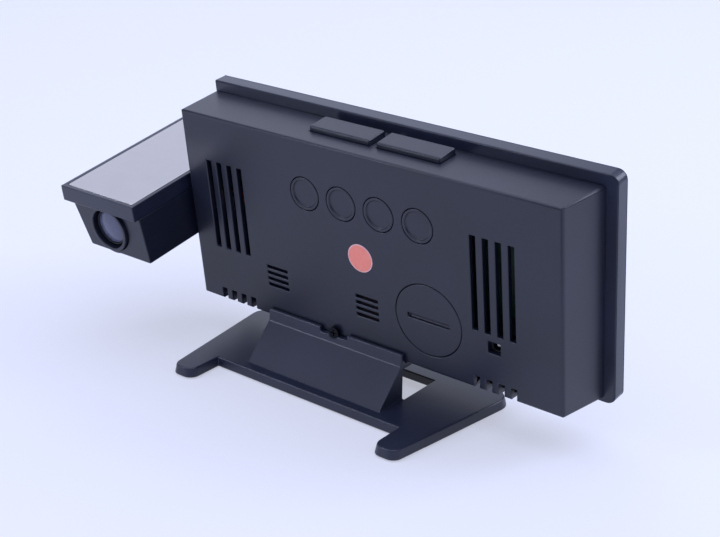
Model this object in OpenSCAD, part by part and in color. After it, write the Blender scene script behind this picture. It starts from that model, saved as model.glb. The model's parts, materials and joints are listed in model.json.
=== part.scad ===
// Projection alarm clock: a slim mirror-faced desk clock that leans back on a
// splayed stand, with a projector arm that turns about the case's end.
// The desk is z = 0, the origin is below the middle of the whole, and the face looks along -Y.

/* [Case] */
// Width of the case's rear face
case_w = 147.6; // [132:0.2:170]
// Height of the case's rear face
case_h = 69.5; // [66:0.5:80]
// Depth from the rear face to the front frame
case_d = 18.6; // [18.5:0.1:25]
// Wall thickness of the rear case
case_wall = 2; // [1.6:0.1:2.4]
// How far the arm-side flank flares outwards towards the front
flare_arm = 1; // [0.4:0.1:1.6]
// How far the free-side flank flares outwards towards the front
flare_free = 2.8; // [0.5:0.1:5]
// How far the underside drops towards the front
flare_foot = 2.2; // [1:0.1:3]
// Radius of the upright rear edges
case_edge_r = 1.4; // [0.4:0.1:2]
// Radius of the long rear edges
case_top_r = 1; // [0.3:0.1:1.2]
// Angle by which the case leans back on its stand
lean = 7; // [4:0.5:9]
// Distance of the case's middle from the stand's middle
case_shift = -13.1; // [-20:0.1:-8]

/* [Front frame] */
// Thickness of the front frame with its mirror
plate_t = 5.6; // [4.8:0.1:7]
// Overhang of the frame above the case
plate_top = 3.6; // [2:0.1:6]
// Overhang of the frame below the case's lower rear edge
plate_foot = 3.6; // [2.8:0.1:6]
// Overhang of the frame past the rear face at the free end
plate_free = 6.6; // [5:0.1:9]
// Overhang of the frame past the rear face at the arm end
plate_arm = 1; // [0.6:0.1:1.4]
// Corner radius at the frame's free end
plate_r = 3; // [2:0.5:8]
// Thickness of the mirrored window
mirror_t = 1.5; // [1:0.1:2]
// Width of the frame's visible rim round the mirror
mirror_rim = 1.2; // [0.8:0.1:3]
// Width of the display opening behind the mirror
display_w = 110; // [96:1:112]
// Height of the display opening behind the mirror
display_h = 40; // [32:1:44]
// Depth of the lip that enters the case
lip_d = 3; // [2:0.5:4]
// Thickness of that lip
lip_t = 1.4; // [1:0.1:1.8]

/* [Vents] */
// Number of upright vent slots in each group
slot_n = 4; // [2:1:4]
// Distance between the upright vent slots
slot_pitch = 4.5; // [3.6:0.1:4.8]
// Width of an upright vent slot
slot_w = 2.1; // [1.4:0.1:2.4]
// Height of an upright vent slot
slot_h = 32.2; // [20:0.2:36]
// Height of the slots' lower ends on the rear face
slot_z = 20.9; // [20:0.1:26]
// Middle of the vent group at the arm end
slot_arm_x = 56.6; // [54:0.2:58]
// Middle of the vent group at the free end
slot_free_x = -49.6; // [-52:0.2:-48]
// Height to which the lower edge notches reach
notch_z = 4.4; // [3:0.1:5]
// Number of slits in a grille
grille_n = 4; // [2:1:4]
// Distance between the slits of a grille
grille_pitch = 2.25; // [1.8:0.05:2.4]
// Height of one grille slit
grille_h = 1.1; // [0.8:0.1:1.3]
// Width of the grilles
grille_w = 9; // [6:0.5:10]
// Height of the middle of the grilles
grille_z = 15.8; // [15:0.1:17]
// Middle of the sensor grille
grille_sensor_x = 37.1; // [34:0.1:40]
// Middle of the buzzer grille
grille_buzzer_x = -0.9; // [-2:0.1:1]

/* [Rear buttons] */
// Number of round buttons
key_n = 4; // [4:1:4]
// Distance between the round buttons
key_pitch = 14.8; // [14.4:0.1:16]
// Distance of the round buttons below the case's upper edge
key_drop = 18.6; // [17:0.1:20]
// Middle of the row of round buttons
key_x = -0.7; // [-2:0.1:2]
// Radius of a round button's cap
key_r = 5.7; // [4.5:0.1:6]
// Radius of the dish in a round cap
dish_r = 4.7; // [3.5:0.1:5]
// Depth of that dish
dish_d = 0.5; // [0.2:0.1:0.8]
// Gap round every button cap
key_gap = 0.2; // [0.15:0.05:0.4]
// Travel of every button
key_travel = 0.6; // [0.3:0.1:0.8]

/* [Top buttons] */
// Length of a top button
pad_w = 23.8; // [20:0.2:25]
// Depth of a top button from front to rear
pad_d = 8.2; // [6:0.2:8.6]
// Space between the two top buttons
pad_space = 2.8; // [2.6:0.1:4]
// Height by which the top buttons stand proud
pad_proud = 2.1; // [1.2:0.1:2.4]
// Distance of the top buttons' middle from the rear face
pad_y = 11.5; // [11.3:0.1:11.8]
// Middle of the pair of top buttons
pad_x = -1.9; // [-3:0.1:2]

/* [Battery bay] */
// Radius of the battery cover
cover_r = 12.5; // [12:0.1:13]
// Middle of the battery cover, from the case's middle
cover_x = -25.2; // [-26:0.1:-24]
// Height of the middle of the battery cover
cover_z = 18.6; // [18.2:0.1:20]
// Thickness of the battery cover's disc
cover_t = 1.7; // [1.4:0.1:1.9]
// Length of the coin slot
coin_slot_w = 16; // [12:0.5:18]
// Height of the coin slot
coin_slot_h = 1.5; // [1.2:0.1:2]
// Radius of the coin cell
cell_r = 10; // [9.5:0.1:10.2]
// Thickness of the coin cell
cell_t = 3.2; // [2.5:0.1:3.4]
// Angle that the cover turns to come free
cover_turn = 40; // [35:1:45]

/* [Power inlet] */
// Middle of the inlet, from the case's middle
inlet_x = -49.6; // [-51:0.1:-48]
// Height of the middle of the inlet
inlet_z = 16.5; // [15.5:0.1:16.8]
// Width of the inlet's window
inlet_w = 4.6; // [4.4:0.1:5]
// Height of the inlet's window
inlet_h = 4; // [3.8:0.1:4.4]
// Radius of the jack's bore
jack_r = 1.75; // [1.4:0.05:1.8]
// Radius of the jack's centre pin
jack_pin_r = 0.55; // [0.4:0.05:0.7]

/* [Sticker] */
// Radius of the round inspection sticker
sticker_r = 4.9; // [3:0.1:6]
// Middle of the sticker, from the case's middle
sticker_x = 0.3; // [-4:0.1:4]
// Height of the middle of the sticker
sticker_z = 33.6; // [32:0.1:36]

/* [Stand] */
// Thickness of the stand's plate
base_t = 3.1; // [2.8:0.1:5]
// Half width of the stand at its front edge
base_front_w = 54.6; // [50:0.2:60]
// Half width of the stand at its rear tips
base_rear_w = 46.8; // [45.6:0.2:50]
// Distance of the front edge in front of the stand's middle
base_front_y = 27.4; // [24:0.2:30]
// Distance of the foot tips behind the stand's middle
base_rear_y = 26.6; // [22:0.2:28]
// Distance of the cross bar's rear edge behind the stand's middle
bar_y = 13.4; // [11.6:0.2:15]
// Half distance between the two rear feet
foot_gap = 38.6; // [34:0.2:39]
// Distance of the wedge's lower edge behind the stand's middle
wedge_y = 10; // [9.4:0.2:11]
// Run of the wedge from that edge to the case's lower rear edge
wedge_run = 13.4; // [12:0.2:15]
// Corner radius of the foot tips
tip_r = 3.4; // [2:0.1:4]
// Corner radius of the front corners
base_r = 6; // [3:0.5:8]
// Outward slope of the plate's side walls
base_draft = 0.5; // [0:0.1:1]
// Half width of the wedge that carries the case
wedge_w = 28.2; // [26:0.2:30]
// Wall thickness of the wedge
wedge_wall = 1.8; // [1.4:0.1:2.2]
// Distance of the window's front edge in front of the middle
window_y = 19.2; // [16:0.2:20]
// Height by which the wedge's strip overlaps the rear face
strip_lap = 3.3; // [2.8:0.1:4]
// Thickness of that strip at its upper edge
strip_t = 1.5; // [1.2:0.1:1.8]
// Thickness of that strip at its foot
strip_foot_t = 2.3; // [1.9:0.1:3]
// Width of the notch in the strip
strip_notch_w = 11.4; // [8:0.2:14]
// Depth of the notch in the strip
strip_notch_h = 1.6; // [1:0.1:2]
// Height of the stand's screw above the case's lower rear edge
stand_screw_z = 2.9; // [2.6:0.1:3.4]
// Height of the gap between the stand's plate and the case
case_lift = 12.5; // [9:0.5:16]
// Height by which the rubber feet stand proud
pad_foot = 0.4; // [0.2:0.1:0.6]
// Radius of a rubber foot
foot_r = 3; // [2:0.1:3.4]

/* [Projector arm] */
// Width of the arm's mirror side
arm_w = 34.9; // [31.9:0.5:38.4]
// Gap between the case's flank and the arm's frame, at the frame
arm_gap = 1.4; // [1.4:0.1:3]
// Thickness of the arm's frame
arm_frame_t = 5.7; // [5:0.1:7]
// Depth of the whole arm, from mirror to back
arm_h = 22.3; // [21.6:0.1:24]
// How far the frame stands past the arm's case at each end
arm_end = 2; // [1:0.1:3]
// How far the arm's outer side slopes in
arm_taper = 5.4; // [2:0.1:6]
// How far the frame's outer side slopes out
arm_flare = 0.9; // [0.5:0.1:2]
// Wall thickness of the arm
arm_wall = 1.8; // [1.5:0.1:2]
// Distance from the mirror to the turning axis
pivot_depth = 10.4; // [10:0.1:11]
// Droop of the lens end below the case's own level
arm_droop = 3.2; // [0:0.1:5]
// Outer radius of the hollow pivot
pivot_r = 3.6; // [3.2:0.1:3.8]
// Radius of the wire bore through the pivot
pivot_bore = 2; // [1.6:0.1:2]
// Running clearance of shafts in their bores
run_fit = 0.06; // [0.04:0.01:0.09]

/* [Projection lens] */
// Distance of the optical axis below the mirror
lens_drop = 12.9; // [12.7:0.1:13]
// Distance of the optical axis from the arm's inner side
lens_x = 16; // [15:0.1:17]
// Outer radius of the focus ring
focus_r = 8.4; // [8.1:0.1:8.6]
// How far the focus ring stands out of the arm
focus_proud = 1.2; // [0.6:0.1:2]
// Outer radius of the lens barrel
barrel_r = 6.4; // [6.2:0.1:6.5]
// Radius of the front lens
glass_r = 5.9; // [5.4:0.1:5.9]
// Travel of the lens barrel to each side
lens_travel = 1.5; // [0.5:0.1:1.8]

/* [Hidden] */
$fn = 48;

// Small air gap between parts of different bodies
air = 0.3;
// Tiny overlap that makes cuts pass clean through a face
eps = 0.01;
// Clearance between parts that are pushed or clipped together
seat = 0.1;

// Heights and places in the desk frame
floor_top = pad_foot + base_t;
case_z = floor_top + case_lift;
case_y = wedge_y - wedge_run;

// Front frame extents in the case frame
plate_x0 = -case_w / 2 - plate_free;
plate_x1 = case_w / 2 + plate_arm;
plate_z0 = -plate_foot;
plate_z1 = case_h + plate_top;
plate_y = -case_d - plate_t;
plate_mid_z = (plate_z0 + plate_z1) / 2;
plate_mid_x = (plate_x0 + plate_x1) / 2;

// Boards, switches and their bosses
board_t = 1.2;
switch_w = 6;
switch_t = 3.1;
knob_t = 0.8;
knob_r = 1.75;
flange_t = 1;
flange_w = 0.9;
plunger_t = 0.5;
plunger_r = 2.4;
switch_gap = key_travel + seat;
key_stack = case_wall + seat + flange_t + plunger_t + switch_gap + knob_t + switch_t;
key_board_y = -key_stack;
key_z = case_h - key_drop;
key_board_end = 6.3;
key_board_half = 8.1;
key_board_w = (key_n - 1) * key_pitch + 2 * key_r + 2 * key_board_end;
key_board_z0 = key_z - key_board_half;
key_board_z1 = key_z + key_board_half;
key_boss_x = key_board_w / 2 - 3.1;
key_boss_z = [key_board_z0 + 3, key_board_z1 - 3];
boss_r = 1.9;
screw_r = 0.9;
screw_head_r = 1.7;
screw_head_t = 1;
top_board_z = case_h - key_stack;
top_boss_x = pad_space / 2 + pad_w + 4.4;
top_board_w = 2 * (top_boss_x + boss_r + 1.4);
board_front = 9.4;
reflector_y = plate_y + board_front;
board_side = 13.8;
board_gap = 1.35;
main_board_w = case_w - 2 * board_side;
main_board_h = 2 * (top_board_z - board_t - board_gap - plate_mid_z);
main_board_y = reflector_y + board_t;

// Battery bay, from the rear face inwards
cover_seat_y = cover_t + 0.15;
hub_r = cover_r - 1.1;
lug_r = cover_r + 0.5;
lug_t = 0.9;
lug_angle = 26;
ledge_t = 0.7;
lug_y = cover_seat_y + ledge_t + seat;
undercut_y = lug_y + lug_t + 0.2;
cell_y = undercut_y + seat;
contact_t = 0.3;
bay_bore_r = cell_r + 0.5;
bay_floor_y = cell_y + cell_t + contact_t + seat;
bay_r = lug_r + 1.4;

// Arm places in the arm frame: y along the arm towards the lens, z towards the mirror
arm_len = plate_z1 - plate_z0;
arm_x0 = plate_x1 + arm_gap;
arm_x1 = arm_x0 + arm_w;
arm_top = pivot_depth;
arm_split = arm_top - arm_frame_t;
arm_floor = arm_top - arm_h;
arm_case_len = arm_len - 2 * arm_end;
arm_case_x1 = arm_x1 - 1.7;
arm_side = 1.4;
lens_z = arm_top - lens_drop;
lens_cx = arm_x0 + lens_x;
hub_case_x = case_w / 2 + flare_arm + 0.2;
hub_arm_x = hub_case_x + air;
hub_wall = 5;
hub_out_r = pivot_r + 3.4;
face_y = arm_case_len / 2;
inner_face_y = face_y - arm_wall;
guide_r = barrel_r + run_fit + 0.7;
skirt_r = focus_r + 0.4;
ring_air = 0.2;
bulge_wall = 0.8;
skirt_l = 6.5;
bulge_r = skirt_r + ring_air + bulge_wall;

function arc(cx, cy, r, a0, a1, n) =
    [for (i = [0 : n]) [cx + r * cos(a0 + (a1 - a0) * i / n), cy + r * sin(a0 + (a1 - a0) * i / n)]];

// Middle of the whole, measured from the stand's middle
tail_y = case_y + (plate_y + pivot_depth) * cos(lean) + plate_mid_z * sin(lean)
    - face_y * cos(lean + arm_droop) + arm_floor * sin(lean + arm_droop);
origin_x = case_shift + (plate_x0 + arm_x1 + arm_flare) / 2;
origin_y = (base_rear_y + base_draft + tail_y) / 2;

// Places everything that is drawn round the stand's middle
module at_desk() {
    translate([-origin_x, -origin_y, 0]) children();
}

// Leans its children back by the case's angle
module case_pose() {
    translate([case_shift, case_y, case_z]) rotate([-lean, 0, 0]) children();
}

// Places everything that leans with the case
module at_case() {
    at_desk() case_pose() children();
}

// Places everything that turns with the arm
module at_arm() {
    at_case() translate([0, plate_y + pivot_depth, plate_mid_z]) rotate([-arm_droop, 0, 0]) children();
}

// A cylinder from y = 0 towards the front
module bar_y(r, d) {
    rotate([90, 0, 0]) cylinder(h = d, r = r);
}

// A cylinder from x = 0 towards +X
module bar_x(r, d) {
    rotate([0, 90, 0]) cylinder(h = d, r = r);
}

// A box centred in x and z that runs from y = 0 towards the front
module block(w, h, d) {
    translate([-w / 2, -d, -h / 2]) cube([w, d, h]);
}

// The tapered body of the case, shrunk on every side by inset
module case_body(inset, r_side, r_top) {
    w = case_w / 2 - inset;
    a = case_w / 2 + flare_arm - inset;
    f = case_w / 2 + flare_free - inset;
    intersection() {
        translate([0, 0, -case_h]) linear_extrude(3 * case_h) polygon(concat(
            [[-f, -case_d], [a, -case_d]],
            arc(w - r_side, -inset - r_side, r_side, 0, 90, 6),
            arc(-w + r_side, -inset - r_side, r_side, 90, 180, 6)));
        rotate([90, 0, 90]) translate([0, 0, -case_w]) linear_extrude(2 * case_w) polygon(concat(
            [[-case_d, case_h - inset], [-case_d, inset - flare_foot]],
            arc(-inset - r_top, inset + r_top, r_top, -90, 0, 5),
            arc(-inset - r_top, case_h - inset - r_top, r_top, 0, 90, 5)));
    }
}

module slot_group(x) {
    for (i = [0 : slot_n - 1]) {
        translate([x + (i - (slot_n - 1) / 2) * slot_pitch - slot_w / 2, -case_wall - 1, slot_z])
            cube([slot_w, case_wall + 2, slot_h]);
        translate([x + (i - (slot_n - 1) / 2) * slot_pitch - slot_w / 2, -case_wall - 3, -case_wall])
            cube([slot_w, case_wall + 4, notch_z + case_wall]);
    }
}

module grille(x) {
    for (i = [0 : grille_n - 1])
        translate([x - grille_w / 2, -case_wall - 1,
            grille_z + (i - (grille_n - 1) / 2) * grille_pitch - grille_h / 2])
            cube([grille_w, case_wall + 2, grille_h]);
}

// Middle of round button i, counted from the arm's end
function key_mid(i) = key_x + ((key_n - 1) / 2 - i) * key_pitch;

// Middle of top button i
function pad_mid(i) = pad_x + (0.5 - i) * (pad_w + pad_space);

module key_bosses(r, y0, y1) {
    for (sx = [-1, 1])
        for (z = key_boss_z)
            translate([key_x + sx * key_boss_x, y0, z]) bar_y(r, y0 - y1);
}

module top_bosses(r, z0, z1) {
    for (sx = [-1, 1])
        translate([pad_x + sx * top_boss_x, -pad_y, z0]) cylinder(h = z1 - z0, r = r);
}

// Hooks of the stand, in the desk frame, widened by grow for their slots
hook_x = 18;
hook_w = 8;
hook_t = 2;
hook_y = case_y - 9;
module hooks(grow) {
    for (sx = [-1, 1])
        translate([sx * hook_x - hook_w / 2 - grow, hook_y - hook_t / 2 - grow, case_z - 2])
            cube([hook_w + 2 * grow, hook_t + 2 * grow, 2 + case_wall + 1.6 + grow]);
}

// Angular sector that reaches from the axis to radius r, as a wedge along -Y
module sector(r, y0, d, mid, spread) {
    rotate([90, 0, 0]) translate([0, 0, -y0]) linear_extrude(d)
        polygon(concat([[0, 0]], arc(0, 0, r, mid - spread / 2, mid + spread / 2, 6)));
}

module rear_case() color("#2b2d36") at_case() {
    difference() {
        union() {
            difference() {
                case_body(0, case_edge_r, case_top_r);
                difference() {
                    case_body(case_wall, 0.6, 0.6);
                    // bay for the coin cell
                    translate([cover_x, eps, cover_z]) bar_y(bay_r, bay_floor_y + 1.2);
                    // boss for the stand's screw
                    translate([-case_shift, eps, stand_screw_z]) bar_y(3, 11);
                    // hub for the arm's pivot
                    translate([hub_case_x - hub_wall, plate_y + pivot_depth, plate_mid_z])
                        bar_x(hub_out_r, hub_wall);
                    key_bosses(boss_r, eps, key_board_y);
                    top_bosses(boss_r, top_board_z, case_h - eps);
                    // ring that holds the buzzer
                    translate([grille_buzzer_x, eps, grille_z]) bar_y(buzzer_r + 1.3, case_wall + 3);
                    // shelf for the temperature sensor
                    translate([grille_sensor_x, eps, grille_z - 5.6]) block(8, 1.2, case_wall + 4);
                }
            }
            // face of the hub, square to the pivot
            intersection() {
                translate([hub_case_x - case_wall, plate_y + pivot_depth, plate_mid_z])
                    bar_x(hub_out_r, case_wall);
                translate([0, -case_d, 0]) cube([case_w, case_d, case_h]);
            }
        }
        slot_group(slot_arm_x);
        slot_group(slot_free_x);
        grille(grille_sensor_x);
        grille(grille_buzzer_x);
        for (i = [0 : key_n - 1])
            translate([key_mid(i), 1, key_z]) bar_y(key_r + key_gap, case_wall + 2);
        for (i = [0, 1])
            translate([pad_mid(i) - pad_w / 2 - key_gap, -pad_y - pad_d / 2 - key_gap, case_h - case_wall - 1])
                cube([pad_w + 2 * key_gap, pad_d + 2 * key_gap, case_wall + 2]);
        key_bosses(screw_r, -case_wall, key_board_y - 1);
        top_bosses(screw_r, top_board_z - 1, case_h - case_wall);
        // buzzer seat
        translate([grille_buzzer_x, -case_wall, grille_z]) bar_y(buzzer_r + seat, 4);
        // battery opening, its ledge with two lug gates, the undercut and the bore
        translate([cover_x, 1, cover_z]) bar_y(cover_r + 0.15, 1 + cover_seat_y);
        translate([cover_x, 1, cover_z]) bar_y(hub_r + 0.2, 1 + undercut_y);
        for (m = [0, 180])
            translate([cover_x, 0, cover_z])
                sector(lug_r + 0.3, -cover_seat_y + 0.1, ledge_t + 0.4, m - cover_turn, lug_angle + 6);
        translate([cover_x, -lug_y + seat, cover_z]) bar_y(lug_r + 0.2, undercut_y - lug_y + seat);
        translate([cover_x, -undercut_y + 0.5, cover_z]) bar_y(bay_bore_r, bay_floor_y - undercut_y + 0.5);
        // power inlet
        translate([inlet_x, 1, inlet_z]) block(inlet_w, inlet_h, case_wall + 2);
        // pilot hole for the stand's screw
        translate([-case_shift, 1, stand_screw_z]) bar_y(stand_screw_r + 0.05, 10.5);
        // bore for the arm's pivot
        translate([hub_case_x - hub_wall - 1, plate_y + pivot_depth, plate_mid_z])
            bar_x(pivot_r + run_fit, hub_wall + 4);
        // pockets for the front frame's catches
        catches(0.3);
        // slots for the stand's hooks
        rotate([lean, 0, 0]) translate([-case_shift, -case_y, -case_z]) hooks(0.25);
    }
}

// Catches along the front frame's lip, widened by grow for their pockets
catch_x = 50;
catch_w = 8;
catch_h = 0.7;
module catches(grow) {
    for (x = [-catch_x, catch_x]) {
        translate([x - catch_w / 2 - grow, -case_d + lip_d - 1.2 - grow, case_h - case_wall - 0.3])
            cube([catch_w + 2 * grow, 1 + 2 * grow, catch_h + grow]);
        translate([x - catch_w / 2 - grow, -case_d + lip_d - 1.2 - grow,
            case_wall - flare_foot * (1 - lip_d / 2 / case_d) - catch_h + 0.3 - grow])
            cube([catch_w + 2 * grow, 1 + 2 * grow, catch_h + grow]);
    }
}

// Outline of the front frame in x and z: square at the arm's end
module plate_outline(inset) {
    r = plate_r - inset;
    polygon(concat(
        [[plate_x1 - inset, plate_z0 + inset], [plate_x1 - inset, plate_z1 - inset]],
        arc(plate_x0 + inset + r, plate_z1 - inset - r, r, 90, 180, 8),
        arc(plate_x0 + inset + r, plate_z0 + inset + r, r, 180, 270, 8)));
}

// Slab of the frame's outline from depth y0 to y1 in front of the rear face
module plate_slab(inset, y0, y1) {
    translate([0, -y0, 0]) rotate([90, 0, 0]) linear_extrude(y1 - y0) plate_outline(inset);
}

frame_floor = plate_t - mirror_t - 0.1;
plate_edge = 0.4;
module front_frame() color("#33353f") at_case() difference() {
    union() {
        plate_slab(plate_edge, case_d, case_d + plate_t);
        plate_slab(plate_edge / 3, case_d + plate_edge * 0.5, case_d + plate_t - plate_edge * 0.4);
        plate_slab(0, case_d + plate_edge, case_d + plate_t - plate_edge);
        // lip that enters the case, cut away at the top buttons and at the pivot's hub
        difference() {
            intersection() {
                case_body(case_wall + seat, 0.6, 0.6);
                translate([-case_w, -case_d - eps, -case_h]) cube([2 * case_w, lip_d, 3 * case_h]);
            }
            translate([pad_x - pad_space / 2 - pad_w - flange_w - 0.5, -pad_y - pad_d / 2 - 0.5,
                case_h - case_wall - 8])
                cube([pad_space + 2 * pad_w + 2 * flange_w + 1, lip_d + 2, 10]);
            translate([hub_case_x - hub_wall - 3, plate_y + pivot_depth, plate_mid_z])
                bar_x(hub_out_r + air, hub_wall + 3);
        }
        catches(0);
        // posts for the main board
        main_posts(post_r, -case_d, main_board_y - board_t);
    }
    intersection() {
        case_body(case_wall + seat + lip_t, 0.4, 0.4);
        difference() {
            translate([-case_w, -case_d, -case_h]) cube([2 * case_w, lip_d + 1, 3 * case_h]);
            main_posts(post_r, -case_d - eps, main_board_y - board_t);
        }
    }
    // recess for the mirror and opening for the display
    plate_slab(mirror_rim, case_d + frame_floor, case_d + plate_t + 1);
    translate([plate_mid_x, -case_d + lip_d + 1, plate_mid_z]) block(display_w, display_h, plate_t + lip_d + 2);
    main_posts(screw_r, -case_d - 1.5, main_board_y);
}

post_r = 1.9;
post_x = main_board_w / 2 - post_r - 0.7;
post_z = main_board_h / 2 - post_r - 0.7;
module main_posts(r, y0, y1) {
    for (sx = [-1, 1])
        for (sz = [-1, 1])
            translate([plate_mid_x + sx * post_x, y1, plate_mid_z + sz * post_z]) bar_y(r, y1 - y0);
}

module mirror_window() color("#14161c") at_case()
    plate_slab(mirror_rim + seat, case_d + frame_floor + 0.1, case_d + plate_t);

// One bar of a digit: a flat hexagon along x
seg_l = 12;
seg_t = 2.6;
module bar_segment(l, grow) {
    t = seg_t / 2 + grow;
    e = l / 2 + grow;
    polygon([[-e, 0], [-e + t, t], [e - t, t], [e, 0], [e - t, -t], [-e + t, -t]]);
}

digit_pitch = 22;
digit_x = [1.6 * digit_pitch, 0.6 * digit_pitch, -0.6 * digit_pitch, -1.6 * digit_pitch];
module digit_shapes(grow) {
    for (x = digit_x)
        translate([x, 0]) {
            for (z = [-seg_l - 1, 0, seg_l + 1])
                translate([0, z]) bar_segment(seg_l, grow);
            for (sx = [-1, 1])
                for (sz = [-1, 1])
                    translate([sx * (seg_l / 2 + 0.5), sz * (seg_l / 2 + 0.5)]) rotate(90)
                        bar_segment(seg_l, grow);
        }
    for (z = [-5, 5])
        translate([0, z]) circle(r = 1.4 + grow, $fn = 24);
}

reflector_front = case_d + frame_floor;
module display_reflector() color("#e4e4e0") at_case() difference() {
    translate([plate_mid_x, reflector_y, plate_mid_z])
        block(display_w - 2 * seat, display_h - 2 * seat, reflector_front + reflector_y);
    translate([plate_mid_x, reflector_y + 1, plate_mid_z]) rotate([90, 0, 0])
        linear_extrude(reflector_front + 2) digit_shapes(0.1);
}

module digit_segments() color("#c8d4f0") at_case()
    translate([plate_mid_x, reflector_y - 2, plate_mid_z]) rotate([90, 0, 0])
        linear_extrude(reflector_front + reflector_y - 2) digit_shapes(0);

module main_board() color("#2f6b46") at_case() difference() {
    translate([plate_mid_x, main_board_y, plate_mid_z]) block(main_board_w, main_board_h, board_t);
    main_posts(1.1, main_board_y - 3, main_board_y + 1);
}

chip_w = 12;
chip_t = 1.5;
chip_x = main_board_w / 2 - 38;
module main_chip() color("#101114") at_case()
    translate([plate_mid_x + chip_x, main_board_y + chip_t, plate_mid_z - chip_w / 2]) block(chip_w, chip_w, chip_t);

module key_board() color("#2f6b46") at_case() difference() {
    translate([key_x, key_board_y, (key_board_z0 + key_board_z1) / 2])
        block(key_board_w, key_board_z1 - key_board_z0, board_t);
    key_bosses(1.1, key_board_y + 1, key_board_y - board_t - 1);
}

// A push switch standing on z = 0
module push_switch() {
    translate([-switch_w / 2, -switch_w / 2, 0]) cube([switch_w, switch_w, switch_t]);
    translate([0, 0, switch_t - eps]) cylinder(h = knob_t + eps, r = knob_r);
}

module key_switches() color("#1b1c20") at_case()
    for (i = [0 : key_n - 1])
        translate([key_mid(i), key_board_y, key_z]) rotate([-90, 0, 0]) push_switch();

module top_board() color("#2f6b46") at_case() difference() {
    translate([pad_x - top_board_w / 2, -pad_y - pad_d / 2, top_board_z - board_t])
        cube([top_board_w, pad_d, board_t]);
    top_bosses(1.1, top_board_z - board_t - 1, top_board_z + 1);
}

module top_switches() color("#1b1c20") at_case()
    for (i = [0, 1])
        translate([pad_mid(i), -pad_y, top_board_z]) push_switch();

module rear_button(i) color("#383a45") at_case() translate([key_mid(i), 0, key_z]) difference() {
    union() {
        bar_y(key_r, case_wall + seat + eps);
        translate([0, -case_wall - seat, 0]) bar_y(key_r + flange_w, flange_t);
        translate([0, -case_wall - seat, 0]) bar_y(plunger_r, flange_t + plunger_t);
    }
    translate([0, eps, 0]) bar_y(dish_r, dish_d + eps);
}

module rear_button_1() rear_button(0);
module rear_button_2() rear_button(1);
module rear_button_3() rear_button(2);
module rear_button_4() rear_button(3);

// Side view of a top pad: its rear edge is bevelled
pad_bevel = 0.4;
module top_button(i) color("#454854") at_case() translate([pad_mid(i), -pad_y, case_h]) {
    rotate([90, 0, 90]) translate([0, 0, -pad_w / 2]) linear_extrude(pad_w) polygon([
        [-pad_d / 2, pad_proud - pad_bevel / 2], [-pad_d / 2, -case_wall - seat - eps],
        [pad_d / 2, -case_wall - seat - eps], [pad_d / 2, pad_proud - 2 * pad_bevel],
        [pad_d / 2 - pad_bevel, pad_proud - pad_bevel], [-pad_d / 2 + pad_bevel, pad_proud]]);
    translate([-pad_w / 2 - flange_w, -pad_d / 2, -case_wall - seat - flange_t])
        cube([pad_w + 2 * flange_w, pad_d, flange_t]);
    translate([0, 0, -case_wall - seat - flange_t - plunger_t]) cylinder(h = 1, r = plunger_r);
}

module top_button_1() top_button(0);
module top_button_2() top_button(1);

module battery_cover() color("#30323c") at_case() translate([cover_x, 0, cover_z]) difference() {
    union() {
        bar_y(cover_r, cover_t);
        bar_y(hub_r, lug_y + lug_t);
        for (m = [0, 180])
            sector(lug_r, -lug_y, lug_t, m, lug_angle);
    }
    translate([0, eps, 0]) block(coin_slot_w, coin_slot_h, 1.1);
    translate([0, -cover_t - 0.3, 0]) bar_y(hub_r - 1.2, lug_y + lug_t);
}

module coin_cell() color("#c9ccd2") at_case() translate([cover_x, -cell_y, cover_z]) {
    bar_y(cell_r - 0.5, cell_t);
    translate([0, 0, 0]) bar_y(cell_r, cell_t - 0.6);
}

module cell_contact_minus() color("#d4d6da") at_case()
    translate([cover_x, -cell_y - cell_t - seat / 2, cover_z]) block(12, 4, contact_t);

module cell_contact_plus() color("#d4d6da") at_case()
    translate([cover_x, -cell_y - 0.6, cover_z + cell_r + 0.25]) block(2.4, contact_t, cell_t - 0.8);

jack_w = 7;
jack_h = 6.4;
jack_y = case_wall + seat;
module power_jack() color("#17181c") at_case() translate([inlet_x, -jack_y, inlet_z]) difference() {
    block(jack_w, jack_h, -main_board_y - jack_y);
    translate([0, eps, 0]) bar_y(jack_r, 7.5);
}

module jack_pin() color("#dfe1e6") at_case()
    translate([inlet_x, -jack_y - 0.6, inlet_z]) bar_y(jack_pin_r, 6.88);

buzzer_r = 6.4;
module buzzer() color("#b9974a") at_case() translate([grille_buzzer_x, -case_wall - 0.2, grille_z]) {
    bar_y(buzzer_r, 0.4);
    bar_y(buzzer_r - 1.6, 0.9);
}

module temperature_sensor() color("#1d3d2a") at_case()
    translate([grille_sensor_x, -case_wall - 1.6, grille_z - 5]) {
        cylinder(h = 3.4, r = 0.9);
        translate([0, 0, 3.4]) sphere(r = 1.3, $fn = 24);
    }

// A pan-head screw: head on z >= 0, shank below
module screw(shank_r, shank_l, head_r, head_t) {
    difference() {
        cylinder(h = head_t, r = head_r);
        for (a = [0, 90])
            rotate(a) translate([-head_r * 0.6, -0.25, head_t * 0.45]) cube([head_r * 1.2, 0.5, head_t]);
    }
    translate([0, 0, -shank_l]) cylinder(h = shank_l + eps, r = shank_r);
}

module board_screws() color("#b8bcc4") at_case() {
    for (sx = [-1, 1])
        for (z = key_boss_z)
            translate([key_x + sx * key_boss_x, key_board_y - board_t, z]) rotate([90, 0, 0])
                screw(screw_r - 0.05, 4, screw_head_r, screw_head_t);
    for (sx = [-1, 1])
        translate([pad_x + sx * top_boss_x, -pad_y, top_board_z - board_t]) rotate([180, 0, 0])
            screw(screw_r - 0.05, 4, screw_head_r, screw_head_t);
    for (sx = [-1, 1])
        for (sz = [-1, 1])
            translate([plate_mid_x + sx * post_x, main_board_y, plate_mid_z + sz * post_z])
                rotate([-90, 0, 0]) screw(screw_r - 0.05, 4, screw_head_r, screw_head_t);
}

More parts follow.
